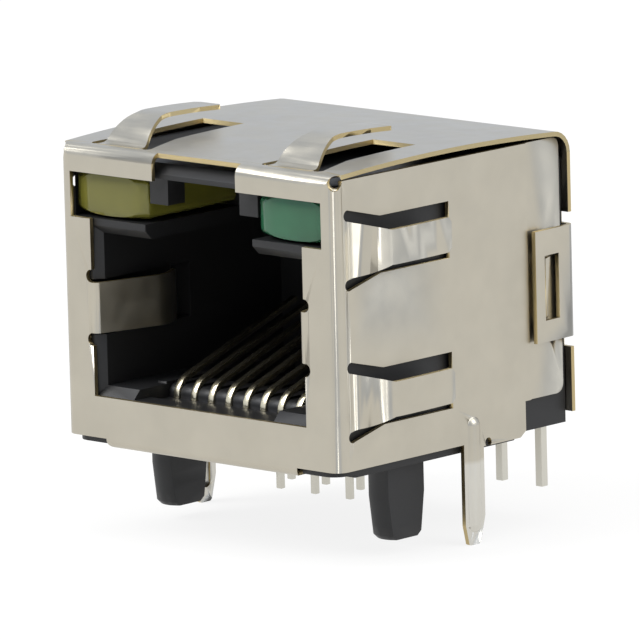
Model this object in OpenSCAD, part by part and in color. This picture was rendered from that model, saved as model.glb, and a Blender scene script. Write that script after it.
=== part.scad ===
// Shielded right-angle modular jack with two indicator lights, latch side up.
// X runs to the right seen from the plug side, Y towards the rear, Z up.
// The origin lies on the board, midway between the two board pegs.

/* [Shield] */
// Width across the side panels
shield_w = 16; // [15.8:0.1:16.6]
// Depth from the front face to the outside of the rear cover
shield_d = 15; // [14.8:0.1:16]
// Thickness of the sheet
sheet_t = 0.2; // [0.15:0.01:0.22]
// Outside radius of the upright folds beside the front face
fold_r = 0.6; // [0.5:0.05:0.7]
// Outside radius of the fold between the front face and the top sheet
brow_fold_r = 0.5; // [0.4:0.05:0.6]
// Height of the front face's strip over the light windows
brow_h = 1.17; // [1.1:0.01:1.4]
// Outside radius of the fold between the top sheet and the rear cover
rear_fold_r = 1; // [0.8:0.1:1.3]
// Rise of the top sheet at the middle of its length
top_bow = 0.22; // [0.05:0.01:0.3]
// Gap between the board and the lower edge of the front face and side panels
skirt_gap = 0.4; // [0.35:0.05:0.5]
// Gap between the side panels' upper edge and the top sheet's folds
panel_gap = 0.05; // [0.03:0.01:0.1]
// Radius of the relief hole at each upper front corner
corner_hole_r = 0.26; // [0.2:0.02:0.3]

/* [Front openings] */
// Width of the plug opening in the front face
port_w = 12.36; // [12.2:0.02:12.5]
// Height of the plug opening's lower edge above the board
port_sill = 2.2; // [2.1:0.05:2.3]
// Width of the front face outside each light window
window_side = 0.7; // [0.62:0.02:0.9]
// Height of the light windows
window_h = 1.97; // [1.8:0.01:2.1]
// Width of the notch over the latch
notch_w = 4.86; // [4.4:0.1:5.2]
// Depth of the notch in the top sheet
notch_d = 0.42; // [0.35:0.01:0.6]
// Width of the flap folded under the front face
flap_w = 11.14; // [10:0.02:11.6]
// Length of the flap under the housing
flap_len = 1.4; // [1.2:0.1:1.8]
// Outside radius of the flap's fold
flap_fold_r = 0.35; // [0.3:0.05:0.45]

/* [Ground contacts] */
// Height of each ground contact strip
strip_h = 2.2; // [1.8:0.1:2.4]
// Height of the strips' middle above the board
strip_z = 6.03; // [5.8:0.01:6.2]
// Radius of the relief notch at each end of a strip
strip_relief_r = 0.28; // [0.2:0.02:0.32]
// Distance of the strips inside the plug opening's sides
strip_inset = 0.31; // [0.2:0.01:0.4]
// Lean of the strips into the plug cavity
strip_lean = 15.5; // [8:0.5:16]
// Length of the straight stretch of a strip
strip_reach = 2.9; // [2:0.1:3.1]

/* [Spring fingers] */
// Distance from the front face to the root of the fingers
finger_root = 0.9; // [0.8:0.05:1.1]
// Distance from the front face to the free tip of the fingers
finger_tip = 6.42; // [5.6:0.02:6.8]
// Width of a finger along its straight stretch
finger_w = 1.5; // [1.2:0.05:1.7]
// Width of the slot between a finger and its window at the root
finger_slot = 0.48; // [0.4:0.02:0.6]
// Width of a finger window at the root
finger_root_w = 3.44; // [3.2:0.02:3.6]
// Width of a finger window behind its taper
finger_window_w = 2.44; // [2.3:0.02:2.6]
// Length of a finger window from its root
finger_window_len = 6.3; // [6.1:0.1:6.8]
// Radius of the bend at the root of a finger
finger_bend_r = 0.5; // [0.4:0.05:0.8]
// Radius of the bend at the crest of a finger
finger_crest_r = 2.25; // [1.8:0.05:2.6]
// Height of a side finger's crest over its panel
side_finger_lift = 0.98; // [0.6:0.02:1.2]
// Height of a top finger's crest over its root
top_finger_lift = 1.2; // [0.8:0.02:1.3]
// Drop from the crest to the free tip
finger_drop = 0.14; // [0.05:0.01:0.25]
// Distance from the middle of the jack to each top finger
top_finger_x = 4.98; // [4.6:0.02:5.2]
// Height of the lower side finger above the board
side_finger_low = 3.32; // [3.1:0.02:3.5]
// Height of the upper side finger above the board
side_finger_high = 9.8; // [9.5:0.02:9.9]

/* [Side panels and tails] */
// Distance from the side panels' rear edge to the outside of the rear cover
panel_short = 0.64; // [0.5:0.02:0.9]
// Step of the side panels inwards under the cover's tabs
joggle = 0.1; // [0.06:0.01:0.12]
// Distance from that step to the tip of the cover's tabs
joggle_lead = 0.24; // [0.2:0.01:0.4]
// Height of the cut-out at the lower rear of each side panel
cutout_z = 1.68; // [1.4:0.02:1.9]
// Distance from the front of that cut-out to the outside of the rear cover
cutout_len = 3.2; // [3:0.05:3.4]
// Width of a board tail
tail_w = 1.25; // [1:0.05:1.4]
// Distance from the board pegs back to the tails
tail_y = 3.15; // [3:0.05:3.3]
// Length of the tails below the board plane
tail_len = 4; // [3.6:0.1:4.4]
// Height of the rib pressed out of each tail
tail_rib = 0.2; // [0.12:0.02:0.24]

/* [Rear cover] */
// Height of the cover's lower edge above the board
cover_z = 0.77; // [0.6:0.01:0.9]
// Height of the lower edge of the latch tabs
tab_z = 4.1; // [3.9:0.05:4.4]
// Height of a latch tab
tab_h = 4.86; // [4.4:0.05:5]
// Length of a latch tab over the side panel
tab_reach = 2.66; // [2.4:0.02:2.7]
// Gap between a tab and the side panel at the tab's fold
tab_gap = 0.1; // [0.04:0.01:0.12]
// Lean of a tab away from the side panel at its tip
tab_lean = 0.08; // [0:0.01:0.12]
// Width of the latch slot in a tab
latch_slot_w = 0.94; // [0.8:0.02:1.1]
// Height of the latch slot in a tab
latch_slot_h = 2.82; // [2.4:0.02:3]
// Height that the barb stands out of the side panel
barb_lift = 0.3; // [0.2:0.02:0.4]

/* [Housing] */
// Gap between the shield and the housing
shield_fit = 0.1; // [0.06:0.01:0.12]
// Gap between the top sheet's folds and the housing
roof_gap = 0.3; // [0.25:0.05:0.4]
// Width of the plug cavity
plug_w = 11.9; // [11.8:0.05:12]
// Height of the plug cavity
plug_h = 6.64; // [6.5:0.02:6.7]
// Height of the plug cavity's floor above the board
plug_floor = 2.6; // [2.5:0.05:2.7]
// Thickness of the housing behind the plug cavity
rear_wall = 3.15; // [2.8:0.05:3.6]
// Width of the keyway for the plug's latch
keyway_w = 6.24; // [6.1:0.02:6.3]
// Gap between the two latch stops
stop_gap = 4.16; // [4.1:0.02:4.3]
// Depth of a latch stop along the plug's path
stop_d = 1.04; // [0.8:0.02:1.3]
// Height of a latch stop
stop_h = 1.15; // [0.9:0.01:1.3]
// Thickness of the shelf under each light
shelf_t = 0.67; // [0.55:0.01:0.75]
// Length of the lead-in round the plug cavity
lead_in = 0.37; // [0.3:0.01:0.42]
// Rise of the housing's underside under its front edge
front_rise = 0.14; // [0.08:0.01:0.2]
// Length of that rise from the front face
front_rise_len = 1.35; // [1.2:0.05:1.6]
// Rise of the housing's underside at its rear
rear_rise = 0.28; // [0.2:0.01:0.4]
// Width of the ridges beside the contacts
ridge_w = 0.5; // [0.3:0.05:0.6]
// Height of the ridges over the cavity floor
ridge_h = 0.1; // [0.05:0.01:0.2]

/* [Board pegs] */
// Distance between the two board pegs
peg_pitch = 12.7; // [12.5:0.05:12.8]
// Distance from the front face back to the pegs
peg_setback = 5.3; // [5.2:0.05:5.4]
// Diameter of a peg across its round sides
peg_d = 2.52; // [2.3:0.02:2.7]
// Width of a peg across its flats
peg_flat_w = 1.14; // [1:0.02:1.3]
// Length of a peg below the board plane
peg_len = 3.32; // [3.1:0.02:3.6]
// Height of the tapered end of a peg
peg_taper = 1.9; // [1.5:0.1:2.1]

/* [Contacts] */
// Distance between neighbouring contacts
contact_pitch = 1.016; // [1:0.002:1.03]
// Width of a contact wire
wire_w = 0.32; // [0.28:0.01:0.36]
// Thickness of a contact wire
wire_t = 0.25; // [0.2:0.01:0.27]
// Outside radius of the knee of a contact
knee_r = 1; // [0.9:0.02:1.05]
// Distance from the front face to the knees
knee_y = 2.26; // [2.2:0.02:2.4]
// Height of the middle of the knees above the board
knee_z = 2.05; // [2:0.01:2.12]
// Rise of the contact springs towards the rear
spring_angle = 19; // [16:0.5:21]
// Distance from the front face to the tips of the springs
spring_tip = 9.9; // [9.2:0.1:10.2]
// Distance from the pegs back to the first row of tails
row_y = 2.29; // [2.2:0.01:2.4]
// Distance between the two rows of tails
row_pitch = 1.78; // [1.7:0.01:1.85]
// Length of the contact tails below the board plane
pin_len = 2.65; // [2.3:0.05:2.9]
// Depth of the carrier in front of the knees
rail_len = 1; // [0.8:0.05:1.2]
// Length of the comb between the wires
comb_len = 2; // [1.6:0.1:2.4]
// Gap between a wire and its groove in the carrier
wire_fit = 0.02; // [0.01:0.01:0.04]
// Gap between the carrier and the housing
carrier_fit = 0.04; // [0.02:0.01:0.08]

/* [Lights] */
// Distance from the middle of the jack to a light's inner side
light_x = 3.22; // [3.16:0.02:3.4]
// Thickness of the housing outside each light
light_wall = 0.1; // [0.08:0.01:0.3]
// Gap between a light and the shelf under it
light_lift = 0.1; // [0.03:0.01:0.12]
// Length of a light
light_len = 5.9; // [5.4:0.1:6]
// Distance from the front face to the crown of a light's front
light_y = 0.12; // [0.1:0.01:0.4]
// Radius of the bulge of a light's front
light_bulge_r = 4.6; // [4:0.1:8]
// Radius of the rounded edges of a light
light_r = 0.45; // [0.2:0.05:0.5]
// Width of a square light lead
lead_w = 0.38; // [0.32:0.02:0.42]
// Distance from a light's outer side to its outer lead
lead_side = 0.64; // [0.5:0.02:0.9]
// Distance between the two leads of a light
lead_pitch = 2.29; // [2.2:0.01:2.31]
// Distance from the light leads to the outside of the rear cover
lead_inset = 1; // [0.8:0.05:1.2]
// Length of the leads below the board plane
lead_len = 2.5; // [2.3:0.05:2.8]
// Gap round a light and its leads in the housing
light_fit = 0.05; // [0.03:0.01:0.06]

/* [Hidden] */

metal = "#c3bcac";
brass = "#b9a06a";
plastic = "#1c1c1e";

half_w = shield_w / 2;
fold_steps = 6;
window_sill = plug_floor + plug_h + shelf_t;
window_head = window_sill + window_h;
window_half_w = half_w - window_side;
shield_h = window_head + brow_h;
panel_top = shield_h - sheet_t - panel_gap;
panel_d = shield_d - panel_short;
cover_mid_y = shield_d - sheet_t / 2;
joggle_y = shield_d - tab_reach - joggle_lead;
cutout_y = shield_d - cutout_len;
top_start = brow_fold_r;
top_end = shield_d - rear_fold_r;
tail_mid = peg_setback + tail_y;
latch_slot_y = shield_d - tab_reach + 0.6;
latch_slot_z = tab_z + 0.93;

// The housing is a block inside the shield.
body_half_w = half_w - sheet_t - joggle - shield_fit / 2;
body_front = sheet_t + shield_fit / 3;
body_rear = shield_d - sheet_t - shield_fit / 2;
body_top = shield_h - sheet_t - roof_gap;
key_top = window_head + 0.05;
plug_d = body_rear - rear_wall;
bay_outer = body_half_w - light_wall;
bay_end = light_y + light_len + light_fit;
lead_channel_z = window_sill + 0.45;
lead_row = shield_d - lead_inset;
lead_x = bay_outer - light_fit - lead_side;

// The carrier fills a bay in the floor of the housing.
contact_count = 8;
carrier_front = knee_y - rail_len;
comb_front = knee_y + 0.12;
carrier_half_w = contact_pitch * contact_count / 2 - 0.02;
carrier_rear = plug_d - 0.4;
rail_top = knee_z - 0.02;

// Moves what is drawn from the front face so that the pegs are at Y 0.
module from_front() translate([0, -peg_setback, 0]) children();

// Draws a thing and its mirror image on the other side of the jack.
module both_sides() {
    children();
    mirror([1, 0, 0]) children();
}

// Extrudes a profile drawn in Y and Z across the jack, centred on X 0.
module across(width) rotate([90, 0, 90]) linear_extrude(width, center = true) children();

// Extrudes a profile drawn in X and Z from one distance behind the front face to another.
module backwards(from, to) translate([0, to, 0]) rotate([90, 0, 0]) linear_extrude(to - from) children();

// A block given by its two opposite corners.
module block(low, high) translate(low) cube(high - low);

function unit(v) = v / norm(v);
function left_of(v) = [-v[1], v[0]];
function reversed(list) = [for (i = [len(list) - 1:-1:0]) list[i]];
function arc(centre, radius, from, to, steps = fold_steps) =
    [for (i = [0:steps]) let (a = from + (to - from) * i / steps) centre + radius * [cos(a), sin(a)]];

// A path moved sideways by a distance, with mitred corners.
function beside(path, distance) = [for (i = [0:len(path) - 1])
    let (before = i > 0 ? unit(path[i] - path[i - 1]) : unit(path[1] - path[0]),
         after = i < len(path) - 1 ? unit(path[i + 1] - path[i]) : before,
         normal = unit(left_of(before) + left_of(after)))
    path[i] + normal * distance / (normal * left_of(before))];

// The outline of a sheet or wire of a given thickness along the middle of its section.
function band(path, thickness) =
    concat(beside(path, thickness / 2), reversed(beside(path, -thickness / 2)));

// ---------------------------------------------------------------- shield

// Height of the middle of the top sheet at a distance behind the front face.
function sheet_z(y) =
    let (s = (y - top_start) / (top_end - top_start))
    shield_h - sheet_t / 2 + top_bow * 4 * s * (1 - s);

// Front strip, top sheet and rear cover in one folded section.
module top_and_cover() {
    bow_steps = 12;
    path = concat(
        [[sheet_t / 2, shield_h - brow_fold_r - 0.05]],
        arc([brow_fold_r, shield_h - brow_fold_r], brow_fold_r - sheet_t / 2, 180, 90),
        [for (i = [1:bow_steps - 1]) let (y = top_start + (top_end - top_start) * i / bow_steps) [y, sheet_z(y)]],
        arc([top_end, shield_h - rear_fold_r], rear_fold_r - sheet_t / 2, 90, 0),
        [[cover_mid_y, cover_z]]);
    intersection() {
        across(shield_w) polygon(band(path, sheet_t));
        linear_extrude(shield_h + 1) polygon(concat(
            arc([half_w - fold_r, fold_r], fold_r, -90, 0),
            [[half_w, shield_d + 1], [-half_w, shield_d + 1]],
            arc([-half_w + fold_r, fold_r], fold_r, 180, 270)));
    }
}

// Front face up to the fold of the top sheet.
module front_face() backwards(0, sheet_t)
    translate([-half_w + fold_r, skirt_gap]) square([shield_w - 2 * fold_r, shield_h - brow_fold_r - skirt_gap]);

// Upright fold between the front face and a side panel.
module corner_fold() {
    lap = 0.05;
    path = concat(
        [[half_w - fold_r - lap, sheet_t / 2]],
        arc([half_w - fold_r, fold_r], fold_r - sheet_t / 2, -90, 0),
        [[half_w - sheet_t / 2, fold_r + lap]]);
    intersection() {
        translate([0, 0, skirt_gap]) linear_extrude(panel_top - skirt_gap) polygon(band(path, sheet_t));
        across(shield_w) polygon(concat(
            [[fold_r + 1, shield_h], [fold_r + 1, 0], [0, 0]],
            arc([brow_fold_r, shield_h - brow_fold_r], brow_fold_r, 180, 90)));
    }
}

// Countersunk relief hole at the corner where three folds meet.
module corner_relief() {
    flare = 0.14;
    surface = fold_r * (sqrt(2) - 1);
    translate([half_w + 0.12, 0.12, shield_h - 0.28]) rotate([0, 0, -45]) rotate([0, 90, 0]) {
        cylinder(h = 2, r = corner_hole_r, center = true, $fn = 32);
        translate([0, 0, -surface - flare]) cylinder(h = flare, r1 = corner_hole_r, r2 = corner_hole_r + flare, $fn = 32);
        translate([0, 0, -surface]) cylinder(h = 1, r = corner_hole_r + flare, $fn = 32);
    }
}

// Plug opening, light windows and the notch over the latch.
module front_openings() {
    backwards(-1, sheet_t + 0.05) {
        translate([-port_w / 2, port_sill]) square([port_w, window_sill - port_sill + 0.1]);
        translate([-window_half_w, window_sill]) square([2 * window_half_w, window_h]);
        for (side = [-1, 1], end = [-1, 1])
            translate([side * (port_w / 2 + 0.03), strip_z + end * (strip_h / 2 + strip_relief_r)])
                circle(strip_relief_r, $fn = 24);
    }
    block([-notch_w / 2, -1, window_head - 0.1], [notch_w / 2, notch_d, shield_h + 1]);
}

// Ground contact folded in from the side of the plug opening.
module contact_strip() {
    bend_r = 0.28;
    knuckle_r = 1.1;
    bend_centre = [port_w / 2 - strip_inset + bend_r, bend_r];
    heading = [-sin(strip_lean), cos(strip_lean)];
    leave = arc(bend_centre, bend_r - sheet_t / 2, 270, 180 + strip_lean, 5);
    knee = leave[5] + strip_reach * heading;
    knuckle_centre = knee + knuckle_r * [cos(strip_lean), sin(strip_lean)];
    knuckle = arc(knuckle_centre, knuckle_r, 180 + strip_lean, 180 - 28, 6);
    tip = knuckle[6] + 0.8 * [sin(28), cos(28)];
    path = concat([[port_w / 2 + 0.3, sheet_t / 2]], leave, knuckle, [tip]);
    translate([0, 0, strip_z - strip_h / 2]) linear_extrude(strip_h) polygon(band(path, sheet_t));
}

// Window round a finger, drawn with its length along X.
module finger_window() {
    end = finger_root + finger_window_len;
    taper = finger_root + 2;
    polygon([[finger_root, finger_root_w / 2], [taper, finger_window_w / 2], [end, finger_window_w / 2],
             [end, -finger_window_w / 2], [taper, -finger_window_w / 2], [finger_root, -finger_root_w / 2]]);
    for (side = [-1, 1]) translate([finger_root, side * (finger_root_w - finger_slot) / 2])
        circle(d = finger_slot, $fn = 24);
}

// Outline of a finger, drawn with its length along X.
module finger_outline() {
    root = finger_root_w / 2 - finger_slot;
    half = finger_w / 2;
    taper = finger_root + 1.7;
    nose = 0.2;
    polygon([[finger_root - 0.3, root], [finger_root, root], [taper, half], [finger_tip - nose, half],
             [finger_tip, half - nose], [finger_tip, -half + nose], [finger_tip - nose, -half],
             [taper, -half], [finger_root, -root], [finger_root - 0.3, -root]]);
}

// Section of a finger: distance behind the front face against height over the sheet.
function finger_path(base, lift) =
    let (turn = acos(1 - lift / (finger_bend_r + finger_crest_r)),
         crest = finger_root + (finger_bend_r + finger_crest_r) * sin(turn),
         run = finger_tip + 0.3 - crest)
    concat(
        [[finger_root - 0.25, base]],
        arc([finger_root, base + finger_bend_r], finger_bend_r, -90, -90 + turn),
        arc([crest, base + lift - finger_crest_r], finger_crest_r, 90 + turn - 5, 90, 10),
        [for (i = [1:6]) [crest + run * i / 6, base + lift - finger_drop * pow(i / 6, 2)]]);

module top_finger() intersection() {
    base = sheet_z(finger_root);
    across(finger_root_w) polygon(band(finger_path(base, top_finger_lift), sheet_t));
    translate([0, 0, base - 1]) linear_extrude(4) rotate(90) finger_outline();
}

module side_finger(height) intersection() {
    base = half_w - sheet_t / 2;
    translate([0, 0, height - finger_root_w / 2]) linear_extrude(finger_root_w)
        mirror([1, -1]) polygon(band(finger_path(base, side_finger_lift), sheet_t));
    translate([half_w + 1, 0, height]) across(4) finger_outline();
}

// Outline of a side panel with its tail, drawn in Y and Z.
module panel_outline() {
    tail_front = tail_mid - tail_w / 2;
    tail_back = tail_mid + tail_w / 2;
    foot_z = skirt_gap - 0.25;
    relief_r = 0.2;
    bevel = 0.36;
    round = 0.4;
    difference() {
        union() {
            polygon(concat(
                [[fold_r, skirt_gap], [cutout_y - bevel - 0.5, skirt_gap], [cutout_y, skirt_gap + 0.02],
                 [cutout_y, cutout_z]],
                arc([panel_d - round, cutout_z + round], round, -90, 0, 4),
                arc([panel_d - round, panel_top - round], round, 0, 90, 4),
                [[fold_r, panel_top]]));
            polygon([[tail_back, skirt_gap + 0.2], [tail_back, foot_z], [cutout_y - bevel, foot_z],
                     [cutout_y, foot_z + bevel * 0.7], [cutout_y, skirt_gap + 0.2]]);
            polygon([[tail_front, skirt_gap + 0.2], [tail_front, -tail_len + 0.9], [tail_front + 0.2, -tail_len + 0.05],
                     [tail_front + 0.32, -tail_len], [tail_back - 0.42, -tail_len], [tail_back - 0.3, -tail_len + 0.08],
                     [tail_back - 0.08, -tail_len + 0.9], [tail_back, -tail_len + 1.2], [tail_back, skirt_gap + 0.2]]);
        }
        translate([tail_back + relief_r + 0.1, foot_z + relief_r * 0.7]) circle(relief_r, $fn = 24);
        for (z = [side_finger_low, side_finger_high]) translate([0, z]) finger_window();
        barb_window();
    }
}

// Hole that the barb leaves in the side panel, drawn in Y and Z.
module barb_window() translate([latch_slot_y + 0.05, latch_slot_z + 0.15])
    square([latch_slot_w - 0.2, latch_slot_h - 0.3]);

// Side panel, stepped inwards where the cover's tab lies on it.
module side_panel() {
    mid = half_w - sheet_t / 2;
    section = [[mid, fold_r], [mid, joggle_y], [mid - joggle, joggle_y + 0.2], [mid - joggle, panel_d]];
    intersection() {
        translate([half_w, 0, 0]) across(2) panel_outline();
        translate([0, 0, -tail_len - 1]) linear_extrude(tail_len + shield_h + 2) polygon(band(section, sheet_t));
    }
}

// Barb that holds the cover's tab.
module barb() {
    mid = half_w - sheet_t / 2 - joggle;
    rear = latch_slot_y + latch_slot_w - 0.15;
    section = [[mid, rear + 0.2], [mid, rear], [mid + barb_lift, latch_slot_y + 0.08]];
    translate([0, 0, latch_slot_z + 0.15]) linear_extrude(latch_slot_h - 0.3) polygon(band(section, sheet_t));
}

// Rib pressed out of a tail, with its hollow on the inner side.
module tail_rib_shape(radius) {
    low = -tail_len + 0.9;
    translate([0, 0, low]) cylinder(h = 1.15 - low, r = radius, $fn = 48);
    translate([0, 0, low]) sphere(radius, $fn = 48);
    translate([0, 0, 1.15]) sphere(radius, $fn = 48);
}

rib_half = tail_w * 0.31;
rib_r = (rib_half * rib_half + tail_rib * tail_rib) / (2 * tail_rib);

module rib_at(radius) translate([half_w + tail_rib - rib_r, tail_mid, 0]) tail_rib_shape(radius);

// Tab of the rear cover, folded forward over the side panel.
module cover_tab() {
    tab_mid = half_w - joggle + tab_gap + sheet_t / 2;
    bend_r = 0.4;
    section = concat(
        [[tab_mid + tab_lean, shield_d - tab_reach]],
        arc([tab_mid + sheet_t / 2 - bend_r, shield_d - bend_r], bend_r - sheet_t / 2, 0, 90),
        [[tab_mid - bend_r - 0.4, cover_mid_y]]);
    difference() {
        translate([0, 0, tab_z]) linear_extrude(tab_h) polygon(band(section, sheet_t));
        block([half_w - 1, latch_slot_y, latch_slot_z],
              [half_w + 1, latch_slot_y + latch_slot_w, latch_slot_z + latch_slot_h]);
    }
}

// Notches that let a tab fold away from the cover's edge.
module cover_relief() {
    relief = 0.5;
    for (z = [tab_z - relief, tab_z + tab_h])
        block([half_w - 0.55, shield_d - 0.5, z], [half_w + 1, shield_d + 1, z + relief]);
    block([half_w - 0.55, shield_d - 0.5, tab_z - 0.1], [half_w + 1, shield_d + 1, tab_z + tab_h + 0.1]);
}

// Flap folded under the front of the housing, narrower than its fold.
module bottom_flap() {
    half = flap_w / 2;
    narrow = half - 0.23;
    corner_r = 0.3;
    path = concat(
        [[sheet_t / 2, port_sill - 0.6]],
        arc([flap_fold_r, flap_fold_r], flap_fold_r - sheet_t / 2, 180, 270),
        [[flap_len, sheet_t / 2]]);
    intersection() {
        across(flap_w) polygon(band(path, sheet_t));
        linear_extrude(port_sill) polygon(concat(
            [[-half, 0], [half, 0], [narrow, flap_fold_r]],
            arc([narrow - corner_r, flap_len - corner_r], corner_r, 0, 90, 4),
            arc([-narrow + corner_r, flap_len - corner_r], corner_r, 90, 180, 4),
            [[-narrow, flap_fold_r]]));
    }
}

module shield() color(metal) from_front() {
    difference() {
        union() {
            difference() {
                union() {
                    top_and_cover();
                    front_face();
                    both_sides() corner_fold();
                }
                front_openings();
                both_sides() {
                    corner_relief();
                    cover_relief();
                }
                for (side = [-1, 1]) translate([side * top_finger_x, 0, shield_h - 1])
                    linear_extrude(2) rotate(90) finger_window();
            }
            bottom_flap();
            both_sides() {
                side_panel();
                rib_at(rib_r);
            }
        }
        both_sides() {
            rib_at(rib_r - sheet_t);
            block([half_w - 3, tail_mid - tail_w, -tail_len - 1], [half_w - sheet_t, tail_mid + tail_w, tab_z]);
        }
    }
    for (side = [-1, 1]) translate([side * top_finger_x, 0, 0]) top_finger();
    both_sides() {
        side_finger(side_finger_low);
        side_finger(side_finger_high);
        contact_strip();
        cover_tab();
        barb();
    }
}

// --------------------------------------------------------------- housing

// Section of the plug cavity, the keyway and the light bays, drawn in X and Z.
module cavity_section() {
    translate([-plug_w / 2, plug_floor]) square([plug_w, plug_h]);
    translate([-keyway_w / 2, plug_floor]) square([keyway_w, key_top - plug_floor]);
}

module light_bay_section() translate([keyway_w / 2 - 0.1, window_sill])
    square([bay_outer - keyway_w / 2 + 0.1, key_top - window_sill]);

// Funnel at the mouth of the plug cavity.
module mouth() intersection() {
    wide = plug_w / 2 + lead_in;
    outside = body_front - 0.5;
    inner = body_front + lead_in;
    ceiling = plug_floor + plug_h;
    linear_extrude(ceiling + 1) polygon([[-wide, outside], [wide, outside], [wide, body_front], [plug_w / 2, inner],
                                         [-plug_w / 2, inner], [-wide, body_front]]);
    across(2 * wide) polygon([[outside, port_sill], [body_front, port_sill], [inner, plug_floor], [inner, ceiling],
                              [body_front, ceiling + lead_in], [outside, ceiling + lead_in]]);
}

// Stop that the plug's latch hooks behind.
module latch_stop() block([stop_gap / 2, body_front + lead_in, key_top - stop_h],
                          [keyway_w / 2 + 0.02, body_front + lead_in + stop_d, key_top + 0.1]);

// Bevelled front edge of the roof over the keyway.
module roof_bevel() across(keyway_w - 0.2)
    polygon([[body_front - 1, key_top - 0.5], [body_front + 0.17, key_top - 0.5], [body_front + 0.17, key_top + 0.22],
             [body_front + 0.62, body_top + 0.01], [body_front - 1, body_top + 0.01]]);

// Round peg with two flats and a tapered end.
module peg() {
    straight = peg_len - peg_taper;
    tip_r = peg_d / 2 - 0.2;
    intersection() {
        union() {
            translate([0, 0, -straight]) cylinder(h = straight + 0.5, d = peg_d, $fn = 64);
            translate([0, 0, -peg_len + 0.2]) cylinder(h = peg_taper - 0.2, r1 = tip_r, r2 = peg_d / 2, $fn = 64);
            translate([0, 0, -peg_len]) cylinder(h = 0.2, r1 = tip_r - 0.2, r2 = tip_r, $fn = 64);
        }
        block([-peg_flat_w / 2, -peg_d, -peg_len - 1], [peg_flat_w / 2, peg_d, 1]);
    }
}

// Channel for the leads of a light, out through the rear and down to the board.
module lead_channel() {
    slot = lead_w + 2 * light_fit;
    for (x = [lead_x - lead_pitch, lead_x]) {
        block([x - slot / 2, bay_end - 0.1, lead_channel_z], [x + slot / 2, body_rear + 1, lead_channel_z + slot]);
        block([x - slot / 2, lead_row - slot / 2, -1], [x + slot / 2, body_rear + 1, lead_channel_z + slot]);
    }
}

// Space under the housing and the carrier for the shield's flap.
module flap_pocket() {
    half = flap_w / 2 + 0.1;
    block([-half, -1, -1], [half, flap_len + 0.1, sheet_t + 0.05]);
    block([-half, -1, -1], [half, flap_fold_r + 0.1, flap_fold_r + 0.1]);
}

// Pocket behind a ground contact.
module strip_pocket() block([plug_w / 2 - 0.1, body_front - 0.5, strip_z - strip_h / 2 - 0.1],
                            [body_half_w - 0.55, body_front + 5.6, strip_z + strip_h / 2 + 0.1]);

// Outside of the housing, rounded where the shield is folded.
module body_block() {
    corner_r = fold_r + 0.1;
    rear_r = rear_fold_r;
    intersection() {
        linear_extrude(body_top) polygon(concat(
            arc([body_half_w - corner_r, body_front + corner_r], corner_r, -90, 0),
            [[body_half_w, body_rear], [-body_half_w, body_rear]],
            arc([-body_half_w + corner_r, body_front + corner_r], corner_r, 180, 270)));
        across(shield_w) polygon(concat(
            [[body_front, front_rise], [front_rise_len, front_rise], [front_rise_len, 0], [cutout_y - 0.4, 0],
             [cutout_y - 0.2, rear_rise], [body_rear, rear_rise]],
            arc([body_rear - rear_r, body_top - rear_r], rear_r, 0, 90),
            [[body_front, body_top]]));
    }
}

module housing() color(plastic) from_front() {
    difference() {
        body_block();
        backwards(body_front - 1, plug_d) cavity_section();
        both_sides() {
            backwards(body_front - 1, bay_end) light_bay_section();
            lead_channel();
            strip_pocket();
        }
        mouth();
        roof_bevel();
        carrier_bay();
        flap_pocket();
    }
    both_sides() {
        latch_stop();
        floor_ridge();
        translate([peg_pitch / 2, peg_setback, 0]) peg();
    }
}

// Ridge on the cavity floor beside the outer contact.
module floor_ridge() block([carrier_half_w + carrier_fit, knee_y, plug_floor - 0.3],
                           [carrier_half_w + carrier_fit + ridge_w, plug_d, plug_floor + ridge_h]);

// Opening in the housing's floor that takes the carrier.
module carrier_bay() {
    half = carrier_half_w + carrier_fit;
    block([-half, carrier_front - carrier_fit, -1], [half, carrier_rear + carrier_fit, plug_floor + 0.1]);
    block([-half, body_front - 0.5, port_sill], [half, plug_d, plug_floor + 0.1]);
}

// -------------------------------------------------------------- contacts

function contact_x(i) = (i - (contact_count + 1) / 2) * contact_pitch;
function tail_row(i) = peg_setback + row_y + (i % 2 == 0 ? 0 : row_pitch);

// Middle of a wire in Y and Z, from its spring tip round the knee to its tail.
function wire_path(i) =
    let (mid_r = knee_r - wire_t / 2,
         centre = [knee_y + knee_r, knee_z],
         top = centre + mid_r * [-sin(spring_angle), cos(spring_angle)],
         run = spring_tip - top[0],
         heel_r = 0.4,
         floor_z = knee_z - mid_r,
         row = tail_row(i))
    concat(
        [top + [run, run * tan(spring_angle)]],
        arc(centre, mid_r, 90 + spring_angle, 270, 12),
        arc([row - heel_r, floor_z - heel_r], heel_r, 90, 0, 5),
        [[row, -pin_len]]);

module contact(i) color(brass) from_front() translate([contact_x(i), 0, 0])
    across(wire_w) polygon(band(wire_path(i), wire_t));

// Groove in the carrier for one wire, open above it.
module wire_groove(i) {
    row = tail_row(i);
    floor_z = knee_z - knee_r - wire_fit;
    over = plug_floor + 1;
    translate([contact_x(i), 0, 0]) across(wire_w + 2 * wire_fit) {
        translate([knee_y - wire_fit, floor_z]) square([row - knee_y, over - floor_z]);
        translate([row - 0.8, floor_z - 0.2]) square([0.8, over - floor_z]);
        translate([row - wire_t / 2 - wire_fit, -1]) square([wire_t + 2 * wire_fit, plug_floor + 2]);
    }
}

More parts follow.
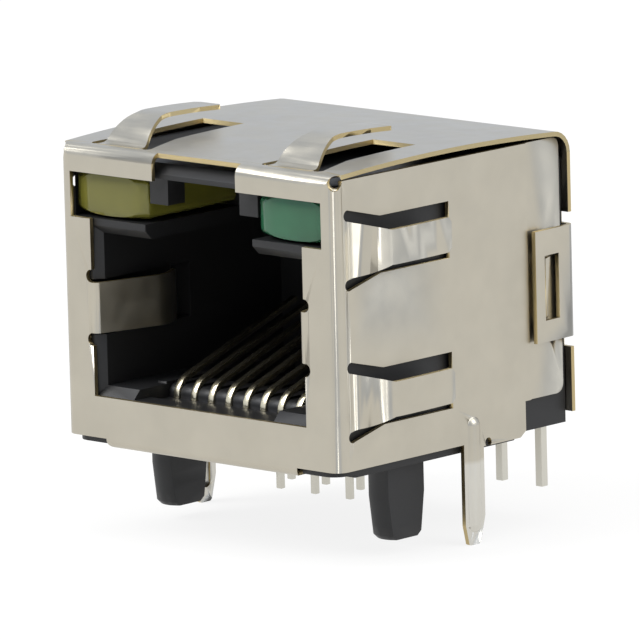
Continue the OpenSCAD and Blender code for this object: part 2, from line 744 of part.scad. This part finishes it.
// Carrier that holds the eight contacts, with a comb between their springs.
module contact_carrier() color(plastic) from_front() {
    tooth_r = 0.4;
    difference() {
        union() {
            block([-carrier_half_w, carrier_front, 0], [carrier_half_w, carrier_rear, rail_top]);
            across(2 * carrier_half_w) {
                translate([comb_front, rail_top - 0.2]) square([comb_len, plug_floor - tooth_r - rail_top + 0.2]);
                translate([comb_front + tooth_r, rail_top]) square([comb_len - tooth_r, plug_floor - rail_top]);
                translate([comb_front + tooth_r, plug_floor - tooth_r]) circle(tooth_r, $fn = 32);
            }
            block([-carrier_half_w, carrier_rear - 0.9, 0], [carrier_half_w, carrier_rear, plug_floor]);
        }
        for (i = [1:contact_count]) wire_groove(i);
        flap_pocket();
    }
}

// ---------------------------------------------------------------- lights

// Outline of a rectangle with rounded corners, its first corner at the origin.
module rounded(w, h, r) polygon(concat(
    arc([w - r, h - r], r, 0, 90), arc([r, h - r], r, 90, 180), arc([r, r], r, 180, 270), arc([w - r, r], r, 270, 360)));

// Block with rounded long edges and a bulging front, cut from a disc with a rounded rim.
module lens() {
    w = bay_outer - light_fit - light_x;
    h = window_head - window_sill - light_lift - 0.02;
    r = light_r;
    sag = light_bulge_r - sqrt(pow(light_bulge_r, 2) - pow(w / 2, 2));
    translate([light_x, light_y, window_sill + light_lift]) intersection() {
        translate([0, light_len, 0]) rotate([90, 0, 0]) linear_extrude(light_len) rounded(w, h, r);
        linear_extrude(h) polygon(concat([[w, light_len], [0, light_len]],
            arc([r, sag + r / 2], r, 180, 270), arc([w - r, sag + r / 2], r, 270, 360)));
        translate([w / 2, light_bulge_r, 0]) rotate_extrude($fn = 96) difference() {
            translate([-r, 0]) rounded(light_bulge_r + r, h, r);
            translate([-2 * r, -1]) square([2 * r, h + 2]);
        }
    }
}

// Square lead from the rear of a light, back and down to the board.
module light_lead(x) {
    heel_r = lead_w / 2 + 0.1;
    top_z = lead_channel_z + light_fit + lead_w / 2;
    path = concat([[light_y + light_len, top_z]],
        arc([lead_row - heel_r, top_z - heel_r], heel_r, 90, 0, 5),
        [[lead_row, -lead_len]]);
    translate([x, 0, 0]) across(lead_w) polygon(band(path, lead_w));
}

module yellow_light() color("#8f8f3c") from_front() mirror([1, 0, 0]) lens();
module green_light() color("#3f7f5a") from_front() lens();
module yellow_lead_outer() color(metal) from_front() light_lead(-lead_x);
module yellow_lead_inner() color(metal) from_front() light_lead(lead_pitch - lead_x);
module green_lead_inner() color(metal) from_front() light_lead(lead_x - lead_pitch);
module green_lead_outer() color(metal) from_front() light_lead(lead_x);

shield();
housing();
contact_carrier();
contact(1);  // contact_1
contact(2);  // contact_2
contact(3);  // contact_3
contact(4);  // contact_4
contact(5);  // contact_5
contact(6);  // contact_6
contact(7);  // contact_7
contact(8);  // contact_8
yellow_light();
green_light();
yellow_lead_outer();
yellow_lead_inner();
green_lead_inner();
green_lead_outer();
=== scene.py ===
"""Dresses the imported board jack: plated sheet, black mouldings, contact wires and two coloured lights."""

import math

import bpy
from mathutils import Matrix, Vector


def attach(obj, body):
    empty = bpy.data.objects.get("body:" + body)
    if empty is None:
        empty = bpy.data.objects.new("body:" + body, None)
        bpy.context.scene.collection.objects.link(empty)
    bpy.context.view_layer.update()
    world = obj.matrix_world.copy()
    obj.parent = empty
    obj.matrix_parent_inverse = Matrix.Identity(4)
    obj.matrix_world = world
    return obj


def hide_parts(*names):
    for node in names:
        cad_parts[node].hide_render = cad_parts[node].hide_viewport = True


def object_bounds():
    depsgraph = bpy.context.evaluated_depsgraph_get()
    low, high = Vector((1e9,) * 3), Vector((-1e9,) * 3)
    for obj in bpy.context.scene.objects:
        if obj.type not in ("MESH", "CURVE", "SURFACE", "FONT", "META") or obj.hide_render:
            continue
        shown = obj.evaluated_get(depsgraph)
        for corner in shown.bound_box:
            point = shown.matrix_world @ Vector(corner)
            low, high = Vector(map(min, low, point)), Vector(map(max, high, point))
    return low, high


bl_info = {
    "name": "Board Jack Looks",
    "version": (1, 0, 0),
    "blender": (4, 5, 0),
    "location": "View3D > Sidebar > Board Jack",
    "description": "Gives the packed board jack its plating, mouldings, wires and lenses",
    "category": "Object",
}

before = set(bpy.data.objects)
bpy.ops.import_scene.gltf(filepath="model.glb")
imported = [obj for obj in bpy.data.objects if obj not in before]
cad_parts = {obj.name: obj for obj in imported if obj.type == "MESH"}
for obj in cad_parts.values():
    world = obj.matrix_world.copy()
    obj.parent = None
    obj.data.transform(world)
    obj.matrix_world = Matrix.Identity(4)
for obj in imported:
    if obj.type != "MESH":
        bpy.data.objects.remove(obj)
cad_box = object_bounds()
BODY = "root"
MM = 0.001
CONTACTS = 8
LIGHTS = ("yellow", "green")
LEAD_SIDES = ("outer", "inner")

WELD_DISTANCE = 0.001 * MM
SHARP_ANGLE = math.radians(40)
SMOOTH_ANGLE = math.radians(28)

# Azimuth and elevation in degrees, distance and width in metres, power in watts.
LAMPS = {
    "key_lamp": (-30, 45, 0.5, 0.3, 2.2),
    "fill_lamp": (110, 35, 0.6, 0.4, 1.6),
    "top_lamp": (40, 85, 0.5, 0.4, 1.4),
}
LAMP_TARGET = Vector((0.0, 0.002, 0.006))


# ---------------------------------------------------------------- sizes and colours a user may change


def colour_property(name, description, default):
    """A colour a user may pick, without alpha."""
    return bpy.props.FloatVectorProperty(
        name=name, description=description, subtype="COLOR", size=3, min=0.0, max=1.0, default=default)


def length_property(name, description, default):
    """A length in metres."""
    return bpy.props.FloatProperty(
        name=name, description=description, subtype="DISTANCE", unit="LENGTH",
        min=0.0, default=default, precision=6)


def share_property(name, description, default):
    """A number from 0 to 1."""
    return bpy.props.FloatProperty(
        name=name, description=description, subtype="FACTOR", min=0.0, max=1.0, default=default)


def angle_property(name, description, degrees):
    """An angle, given in degrees."""
    return bpy.props.FloatProperty(
        name=name, description=description, subtype="ANGLE", default=math.radians(degrees))


class ShieldSettings(bpy.types.PropertyGroup):
    """Sizes and colours of the folded shield."""

    sheet: length_property("Sheet", "Thickness of the sheet, which tells faces from cut edges", 0.0002)
    edge_break: length_property("Edge break", "Width of the worn bevel along the cut edges", 0.00002)
    plating: colour_property("Plating", "Colour of the nickel plating", (0.50, 0.465, 0.385))
    bare_brass: colour_property("Cut edge", "Colour of the bare brass on the cut edges", (0.50, 0.40, 0.21))
    tin: colour_property("Tinned tail", "Colour of the solder on the board tails", (0.62, 0.60, 0.54))
    tin_top: length_property("Tinned below", "Depth under the board's top at which the tinning ends", 0.0004)
    roughness: share_property("Roughness", "Roughness of the satin plating", 0.34)


class MouldingSettings(bpy.types.PropertyGroup):
    """Sizes and colours of the black mouldings."""

    edge_break: length_property("Edge break", "Width of the soft edge left by the mould", 0.00004)
    plastic: colour_property("Plastic", "Colour of the black plastic", (0.012, 0.012, 0.0125))
    roughness: share_property("Roughness", "Roughness of the moulded surface", 0.46)


class ContactSettings(bpy.types.PropertyGroup):
    """Sizes and colours of the contact wires and the light leads."""

    edge_break: length_property("Edge break", "Width of the rounded corner of a drawn wire", 0.00004)
    gold: colour_property("Gold", "Colour of the gold-flashed springs", (0.80, 0.72, 0.52))
    tin: colour_property("Tin", "Colour of the tinned tails and leads", (0.62, 0.60, 0.53))
    roughness: share_property("Roughness", "Roughness of the wires", 0.25)


class LightSettings(bpy.types.PropertyGroup):
    """Sizes and colours of the two lights."""

    edge_break: length_property("Edge break", "Width of the soft edge of a lens", 0.00003)
    yellow: colour_property("Yellow lens", "Colour of the yellow lens", (0.14, 0.135, 0.022))
    green: colour_property("Green lens", "Colour of the green lens", (0.022, 0.115, 0.055))
    roughness: share_property("Roughness", "Roughness of the lenses", 0.12)


class StageSettings(bpy.types.PropertyGroup):
    """Camera, lamps and floor."""

    azimuth: angle_property("Azimuth", "Turn of the camera round the jack", 43.036)
    elevation: angle_property("Elevation", "Height of the camera over the jack", 10.347)
    roll: angle_property("Roll", "Tilt of the camera about its own axis", -1.499)
    distance: length_property("Distance", "Distance from the camera to the aim point", 0.43714)
    aim: bpy.props.FloatVectorProperty(
        name="Aim", description="Point in the jack that the camera looks at", subtype="TRANSLATION",
        unit="LENGTH", size=3, default=(0.000406, 0.001893, 0.00511), precision=6)
    lens: bpy.props.FloatProperty(
        name="Lens", description="Focal length in millimetres", subtype="DISTANCE_CAMERA", default=573.607)
    sensor: bpy.props.FloatProperty(
        name="Sensor", description="Sensor width in millimetres", subtype="DISTANCE_CAMERA", default=36.0)
    floor: colour_property("Floor", "Colour of the pale floor", (0.86, 0.86, 0.85))
    floor_size: length_property("Floor size", "Width of the square floor", 1.2)
    paleness: share_property("Paleness", "Share of plain white in what the camera sees of the floor", 0.86)
    even_light: share_property("Even light", "Strength of the plain white light from all round", 0.5)
    sky: colour_property("Sky", "Colour of the surroundings in reflections", (0.80, 0.86, 0.98))
    sky_light: share_property("Sky light", "Strength of the surroundings in reflections", 0.9)


# ---------------------------------------------------------------- meshes


def select_only(piece):
    """Makes a piece the only selected and active object."""
    bpy.ops.object.select_all(action="DESELECT")
    piece.select_set(True)
    bpy.context.view_layer.objects.active = piece


def welded_copy(node, name):
    """A copy of a CAD node's mesh whose loose triangles are joined at their corners."""
    piece = bpy.data.objects.new(name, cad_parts[node].data.copy())
    bpy.context.scene.collection.objects.link(piece)
    piece.data.materials.clear()
    select_only(piece)
    bpy.ops.object.mode_set(mode="EDIT")
    bpy.ops.mesh.select_all(action="SELECT")
    bpy.ops.mesh.remove_doubles(threshold=WELD_DISTANCE)
    bpy.ops.object.mode_set(mode="OBJECT")
    return piece


def soften(piece, width):
    """Breaks a piece's sharp edges and shades its curves smooth."""
    select_only(piece)
    bevel = piece.modifiers.new("edge_break", "BEVEL")
    bevel.width = width
    bevel.segments = 2
    bevel.limit_method = "ANGLE"
    bevel.angle_limit = SHARP_ANGLE
    bpy.ops.object.modifier_apply(modifier=bevel.name)
    bpy.ops.object.shade_smooth_by_angle(angle=SMOOTH_ANGLE)
    steady = piece.modifiers.new("steady_normals", "WEIGHTED_NORMAL")
    steady.keep_sharp = True
    steady.weight = 100
    bpy.ops.object.modifier_apply(modifier=steady.name)


def stand_for(piece, node):
    """Puts a finished piece on the jack's body in place of its CAD node."""
    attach(piece, BODY)
    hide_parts(node)


def dress(node, name, width, material):
    """Puts a softened copy of a CAD node in its place, with a material."""
    piece = welded_copy(node, name)
    piece.data.materials.append(material)
    soften(piece, width)
    stand_for(piece, node)


# ---------------------------------------------------------------- materials


class Shader:
    """A material under construction: its principled shader and the nodes that feed it."""

    def __init__(self, name, colour, metallic, roughness):
        self.material = bpy.data.materials.new(name)
        self.material.use_nodes = True
        self.tree = self.material.node_tree
        self.surface = self.tree.nodes["Principled BSDF"]
        self.place = self.tree.nodes.new("ShaderNodeTexCoord").outputs["Object"]
        self.set("Base Color", (*colour, 1.0))
        self.set("Metallic", metallic)
        self.set("Roughness", roughness)

    def set(self, socket, value):
        """Sets a socket of the principled shader."""
        self.surface.inputs[socket].default_value = value

    def link(self, source, target):
        """Feeds one socket into another."""
        self.tree.links.new(source, target)

    def noise(self, size, detail=2.0):
        """Noise with blotches of about the given size in metres."""
        noise = self.tree.nodes.new("ShaderNodeTexNoise")
        noise.inputs["Scale"].default_value = 1.0 / size
        noise.inputs["Detail"].default_value = detail
        self.link(self.place, noise.inputs["Vector"])
        return noise.outputs["Fac"]

    def spread(self, source, low, high, start=0.3, end=0.7):
        """Maps a value from start..end to low..high."""
        remap = self.tree.nodes.new("ShaderNodeMapRange")
        remap.inputs["From Min"].default_value = start
        remap.inputs["From Max"].default_value = end
        remap.inputs["To Min"].default_value = low
        remap.inputs["To Max"].default_value = high
        self.link(source, remap.inputs["Value"])
        return remap.outputs["Result"]

    def blend_colours(self, share, first, second):
        """A colour between two, each a colour or a socket, by a value from 0 to 1."""
        mix = self.tree.nodes.new("ShaderNodeMix")
        mix.data_type = "RGBA"
        self.link(share, mix.inputs["Factor"])
        for socket, colour in (("A", first), ("B", second)):
            if isinstance(colour, bpy.types.NodeSocket):
                self.link(colour, mix.inputs[socket])
            else:
                mix.inputs[socket].default_value = (*colour, 1.0)
        return mix.outputs["Result"]

    def height(self):
        """The Z coordinate in the jack's own frame."""
        split = self.tree.nodes.new("ShaderNodeSeparateXYZ")
        self.link(self.place, split.inputs["Vector"])
        return split.outputs["Z"]

    def grain(self, size, depth, strength):
        """A fine bump."""
        bump = self.tree.nodes.new("ShaderNodeBump")
        bump.inputs["Strength"].default_value = strength
        bump.inputs["Distance"].default_value = depth
        self.link(self.noise(size), bump.inputs["Height"])
        self.link(bump.outputs["Normal"], self.surface.inputs["Normal"])


def shade(colour, factor):
    """A colour made darker or lighter."""
    return tuple(min(1.0, part * factor) for part in colour)


def plating_material(settings):
    """Satin nickel plate, tinned at the foot of the board tails."""
    plating = Shader("nickel_plating", settings.plating, 1.0, settings.roughness)
    cloud = plating.spread(plating.noise(1.6 * MM), 0.0, 1.0)
    nickel = plating.blend_colours(cloud, shade(settings.plating, 0.97), shade(settings.plating, 1.03))
    fade = 0.1 * MM
    dipped = plating.spread(plating.height(), 1.0, 0.0, -settings.tin_top - fade, -settings.tin_top + fade)
    plated = plating.blend_colours(dipped, nickel, settings.tin)
    plating.link(plated, plating.surface.inputs["Base Color"])
    wear = plating.spread(plating.noise(0.9 * MM, 3.0), settings.roughness - 0.04, settings.roughness + 0.05)
    plating.link(wear, plating.surface.inputs["Roughness"])
    plating.grain(0.06 * MM, 0.004 * MM, 0.12)
    return plating.material


def cut_edge_material(settings):
    """Bare brass where the sheet was cut."""
    edge = Shader("cut_brass_edge", settings.bare_brass, 1.0, 0.42)
    edge.grain(0.03 * MM, 0.004 * MM, 0.2)
    return edge.material


def plastic_material(settings):
    """Black moulded plastic with a fine spark-eroded texture."""
    plastic = Shader("black_plastic", settings.plastic, 0.0, settings.roughness)
    plastic.set("Specular IOR Level", 0.4)
    plastic.grain(0.05 * MM, 0.006 * MM, 0.25)
    return plastic.material


def wire_material(settings):
    """Drawn wire, gold-flashed above the board and tinned below it."""
    wire = Shader("contact_wire", settings.gold, 1.0, settings.roughness)
    dipped = wire.spread(wire.height(), 1.0, 0.0, 0.0, 0.5 * MM)
    wire.link(wire.blend_colours(dipped, settings.gold, settings.tin), wire.surface.inputs["Base Color"])
    return wire.material


def lead_material(settings):
    """Tinned square lead."""
    lead = Shader("tinned_lead", settings.tin, 1.0, settings.roughness + 0.08)
    lead.grain(0.08 * MM, 0.004 * MM, 0.2)
    return lead.material


def lens_material(name, colour, settings):
    """Translucent coloured epoxy."""
    lens = Shader(name, colour, 0.0, settings.roughness)
    lens.set("IOR", 1.5)
    lens.set("Transmission Weight", 0.25)
    depth = lens.spread(lens.noise(2.2 * MM), 0.0, 1.0)
    tint = lens.blend_colours(depth, shade(colour, 0.9), shade(colour, 1.12))
    lens.link(tint, lens.surface.inputs["Base Color"])
    return lens.material


# ---------------------------------------------------------------- shield


def mark_cut_edges(sheet, thickness, slot):
    """Gives a material slot to the faces whose way through the metal isn't the sheet's thickness."""
    skin = 0.005 * MM
    slack = 0.25 * thickness
    for face in sheet.data.polygons:
        start = face.center - face.normal * skin
        hit, place, _, _ = sheet.ray_cast(start, -face.normal)
        through = (place - start).length + skin if hit else 0.0
        if abs(through - thickness) > slack:
            face.material_index = slot


class JACK_OT_shield(bpy.types.Operator):
    """Dress the folded shield in plating with bare cut edges"""

    bl_idname = "jack.shield"
    bl_label = "Shield"

    def execute(self, context):
        settings = context.scene.jack_shield
        sheet = welded_copy("shield", "plated_shield")
        sheet.data.materials.append(plating_material(settings))
        sheet.data.materials.append(cut_edge_material(settings))
        bpy.context.view_layer.update()
        mark_cut_edges(sheet, settings.sheet, slot=1)
        soften(sheet, settings.edge_break)
        stand_for(sheet, "shield")
        return {"FINISHED"}


# ---------------------------------------------------------------- mouldings, contacts and lights


class JACK_OT_mouldings(bpy.types.Operator):
    """Dress the housing and the contact carrier in black plastic"""

    bl_idname = "jack.mouldings"
    bl_label = "Mouldings"

    def execute(self, context):
        settings = context.scene.jack_mouldings
        plastic = plastic_material(settings)
        for node in ("housing", "contact_carrier"):
            dress(node, f"black_{node}", settings.edge_break, plastic)
        return {"FINISHED"}


class JACK_OT_contacts(bpy.types.Operator):
    """Dress the eight contact wires"""

    bl_idname = "jack.contacts"
    bl_label = "Contacts"

    def execute(self, context):
        settings = context.scene.jack_contacts
        wire = wire_material(settings)
        for number in range(1, CONTACTS + 1):
            dress(f"contact_{number}", f"contact_wire_{number}", settings.edge_break, wire)
        return {"FINISHED"}


class JACK_OT_lights(bpy.types.Operator):
    """Dress the two lights and their four leads"""

    bl_idname = "jack.lights"
    bl_label = "Lights"

    def execute(self, context):
        settings = context.scene.jack_lights
        leads = lead_material(context.scene.jack_contacts)
        for colour in LIGHTS:
            lens = lens_material(f"{colour}_lens", getattr(settings, colour), settings)
            dress(f"{colour}_light", f"{colour}_lens", settings.edge_break, lens)
            for side in LEAD_SIDES:
                wire = f"{colour}_lead_wire_{side}"
                dress(f"{colour}_lead_{side}", wire, settings.edge_break, leads)
        return {"FINISHED"}


# ---------------------------------------------------------------- stage


def camera_axes(azimuth, elevation, roll):
    """The camera's right, up and backward directions."""
    reach = math.cos(elevation)
    back = Vector((math.sin(azimuth) * reach, -math.cos(azimuth) * reach, math.sin(elevation)))
    level = Vector((math.cos(azimuth), math.sin(azimuth), 0.0))
    upright = back.cross(level)
    right = math.cos(roll) * level + math.sin(roll) * upright
    return right, back.cross(right), back


def add_camera(settings):
    """Camera at the viewing angle of a product picture."""
    bpy.ops.object.camera_add()
    camera = bpy.context.object
    camera.name = "camera"
    right, up, back = camera_axes(settings.azimuth, settings.elevation, settings.roll)
    turn = Matrix((right, up, back)).transposed().to_4x4()
    camera.matrix_world = Matrix.Translation(Vector(settings.aim) + settings.distance * back) @ turn
    camera.data.lens = settings.lens
    camera.data.sensor_width = settings.sensor
    camera.data.clip_start = 0.01
    camera.data.clip_end = 10
    bpy.context.scene.camera = camera


def add_lamp(name, azimuth, elevation, distance, size, power):
    """Square soft lamp round the jack, turned towards it."""
    bpy.ops.object.light_add(type="AREA")
    lamp = bpy.context.object
    lamp.name = name
    _, _, out = camera_axes(math.radians(azimuth), math.radians(elevation), 0.0)
    lamp.location = LAMP_TARGET + distance * out
    lamp.rotation_mode = "QUATERNION"
    lamp.rotation_quaternion = out.to_track_quat("Z", "Y")
    lamp.data.shape = "SQUARE"
    lamp.data.size = size
    lamp.data.energy = power


def seen_by(tree, *rays):
    """A value that is 1 for the named kinds of ray and 0 for others."""
    path = tree.nodes.new("ShaderNodeLightPath")
    seen = path.outputs[rays[0]]
    for ray in rays[1:]:
        either = tree.nodes.new("ShaderNodeMath")
        either.operation = "MAXIMUM"
        tree.links.new(seen, either.inputs[0])
        tree.links.new(path.outputs[ray], either.inputs[1])
        seen = either.outputs[0]
    return seen


def choose(tree, share, first, second):
    """A blend of two shaders."""
    mix = tree.nodes.new("ShaderNodeMixShader")
    for source, target in zip((share, first, second), mix.inputs):
        tree.links.new(source, target)
    return mix.outputs[0]


def floor_material(settings):
    """Pale floor: near white to the camera and in reflections, and plain elsewhere."""
    material = bpy.data.materials.new("pale_floor")
    material.use_nodes = True
    tree = material.node_tree
    surface = tree.nodes["Principled BSDF"]
    surface.inputs["Base Color"].default_value = (*settings.floor, 1.0)
    surface.inputs["Roughness"].default_value = 1.0
    surface.inputs["Specular IOR Level"].default_value = 0.0
    white = tree.nodes.new("ShaderNodeEmission")
    share = tree.nodes.new("ShaderNodeMath")
    share.operation = "MULTIPLY"
    share.inputs[1].default_value = settings.paleness
    tree.links.new(seen_by(tree, "Is Camera Ray", "Is Glossy Ray", "Is Transmission Ray"), share.inputs[0])
    pale = choose(tree, share.outputs[0], surface.outputs[0], white.outputs[0])
    tree.links.new(pale, tree.nodes["Material Output"].inputs["Surface"])
    return material


def add_floor(settings):
    """Flat floor just under the longest tail."""
    bpy.ops.mesh.primitive_plane_add(size=settings.floor_size, location=(0.0, 0.0, cad_box[0].z))
    floor = bpy.context.object
    floor.name = "floor"
    floor.data.materials.append(floor_material(settings))


def background(tree, colour, strength):
    """One of the world's backgrounds."""
    node = tree.nodes.new("ShaderNodeBackground")
    node.inputs["Color"].default_value = (*colour, 1.0)
    node.inputs["Strength"].default_value = strength
    return node.outputs[0]


def set_world(settings):
    """White to the camera, sky in reflections, and an even dim light elsewhere."""
    world = bpy.data.worlds.new("surroundings")
    bpy.context.scene.world = world
    world.use_nodes = True
    tree = world.node_tree
    white = (1.0, 1.0, 1.0)
    even = background(tree, white, settings.even_light)
    sky = background(tree, settings.sky, settings.sky_light)
    lighting = choose(tree, seen_by(tree, "Is Glossy Ray", "Is Transmission Ray"), even, sky)
    seen = choose(tree, seen_by(tree, "Is Camera Ray"), lighting, background(tree, white, 1.0))
    tree.links.new(seen, tree.nodes["World Output"].inputs["Surface"])


class JACK_OT_stage(bpy.types.Operator):
    """Set the camera, the lamps, the floor and the surroundings"""

    bl_idname = "jack.stage"
    bl_label = "Stage"

    def execute(self, context):
        settings = context.scene.jack_stage
        add_camera(settings)
        add_floor(settings)
        for name, placing in LAMPS.items():
            add_lamp(name, *placing)
        set_world(settings)
        context.scene.view_settings.view_transform = "Standard"
        return {"FINISHED"}


# ---------------------------------------------------------------- panel and registration

OPERATORS = (JACK_OT_stage, JACK_OT_shield, JACK_OT_mouldings, JACK_OT_contacts, JACK_OT_lights)
SETTINGS = {
    "jack_stage": StageSettings,
    "jack_shield": ShieldSettings,
    "jack_mouldings": MouldingSettings,
    "jack_contacts": ContactSettings,
    "jack_lights": LightSettings,
}


class JACK_PT_looks(bpy.types.Panel):
    """Settings and buttons for dressing the board jack"""

    bl_idname = "JACK_PT_looks"
    bl_label = "Board Jack"
    bl_space_type = "VIEW_3D"
    bl_region_type = "UI"
    bl_category = "Board Jack"

    def draw(self, context):
        for group, operator in zip(SETTINGS, OPERATORS):
            box = self.layout.box()
            settings = getattr(context.scene, group)
            for name in settings.__annotations__:
                box.prop(settings, name)
            box.operator(operator.bl_idname)


def register():
    """Registers the settings, the operators and the panel."""
    for group, settings in SETTINGS.items():
        bpy.utils.register_class(settings)
        setattr(bpy.types.Scene, group, bpy.props.PointerProperty(type=settings))
    for kind in (*OPERATORS, JACK_PT_looks):
        bpy.utils.register_class(kind)


def unregister():
    """Takes the panel, the operators and the settings away."""
    for kind in (JACK_PT_looks, *reversed(OPERATORS)):
        bpy.utils.unregister_class(kind)
    for group, settings in reversed(SETTINGS.items()):
        delattr(bpy.types.Scene, group)
        bpy.utils.unregister_class(settings)


def main():
    """Dresses the jack and keeps its sizes."""
    register()
    bpy.ops.jack.stage()
    bpy.ops.jack.shield()
    bpy.ops.jack.mouldings()
    bpy.ops.jack.contacts()
    bpy.ops.jack.lights()


if __name__ == "__main__":
    main()
